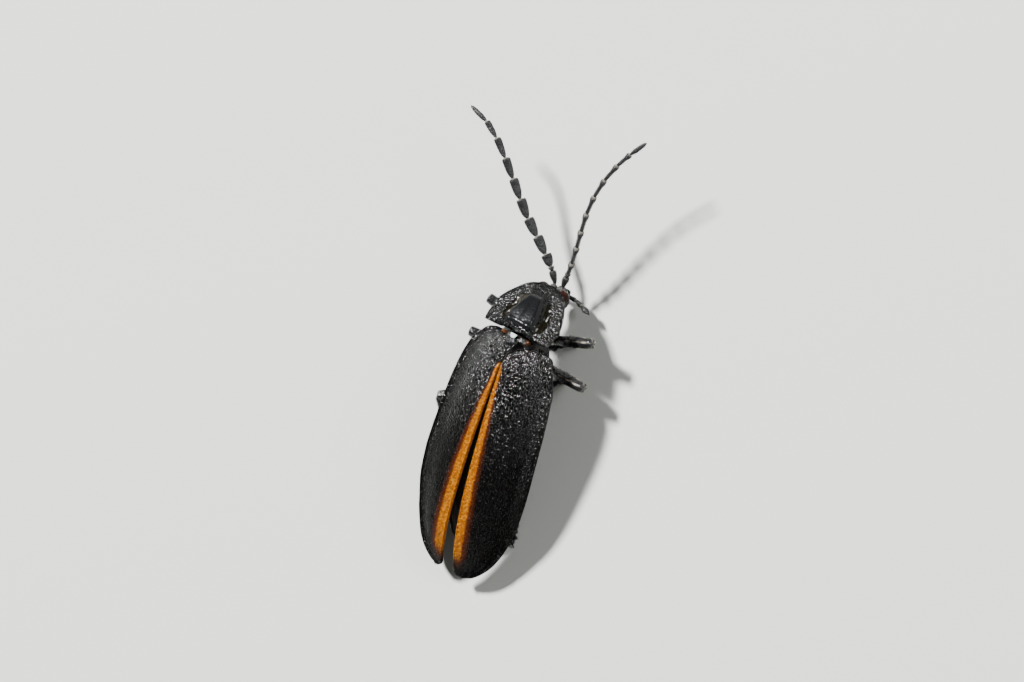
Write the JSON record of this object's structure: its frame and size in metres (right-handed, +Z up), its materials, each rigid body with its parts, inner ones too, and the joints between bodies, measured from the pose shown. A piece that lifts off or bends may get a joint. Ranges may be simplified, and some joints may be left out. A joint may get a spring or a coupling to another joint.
{
  "type": "firefly",
  "caption": "Life-size still model of a black firefly standing on its six feet, wing cases slightly parted, with amber stripes along the suture and long flat feelers",
  "frame": {"origin": "on the floor under the middle of the whole beetle's box", "axes": "+Y towards the head and feelers, +X the beetle's right side, +Z up"},
  "size_m": [0.007, 0.0166, 0.003],
  "materials": {
    "shell": "black horn with fine punctures, satin, amber along the suture",
    "shield": "black horn, grainy rim and smooth disc",
    "body": "black skin with fine down",
    "leg": "black horn, satin, fine hairs",
    "feeler": "dull black, downy",
    "eye": "dark red brown, glossy",
    "wing": "smoky membrane"
  },
  "bodies": {
    "root": {"pronotum": "shield", "prothorax": "body", "scutellum": "shield", "thorax": "body", "abdomen": "body", "head": "body", "elytron_left": "shell", "elytron_right": "shell", "hindwing_left": "wing", "hindwing_right": "wing", "eye_left": "eye", "eye_right": "eye", "palp_left": "feeler", "palp_right": "feeler", "antenna_left_scape": "feeler", "antenna_left_lower": "feeler", "antenna_left_upper": "feeler", "antenna_right_scape": "feeler", "antenna_right_lower": "feeler", "antenna_right_upper": "feeler", "leg_front_left_coxa": "leg", "leg_front_left_femur": "leg", "leg_front_left_tibia": "leg", "leg_front_left_tarsus": "leg", "leg_front_right_coxa": "leg", "leg_front_right_femur": "leg", "leg_front_right_tibia": "leg", "leg_front_right_tarsus": "leg", "leg_middle_left_coxa": "leg", "leg_middle_left_femur": "leg", "leg_middle_left_tibia": "leg", "leg_middle_left_tarsus": "leg", "leg_middle_right_coxa": "leg", "leg_middle_right_femur": "leg", "leg_middle_right_tibia": "leg", "leg_middle_right_tarsus": "leg", "leg_hind_left_coxa": "leg", "leg_hind_left_femur": "leg", "leg_hind_left_tibia": "leg", "leg_hind_left_tarsus": "leg", "leg_hind_right_coxa": "leg", "leg_hind_right_femur": "leg", "leg_hind_right_tibia": "leg", "leg_hind_right_tarsus": "leg"}
  },
  "joints": []
}
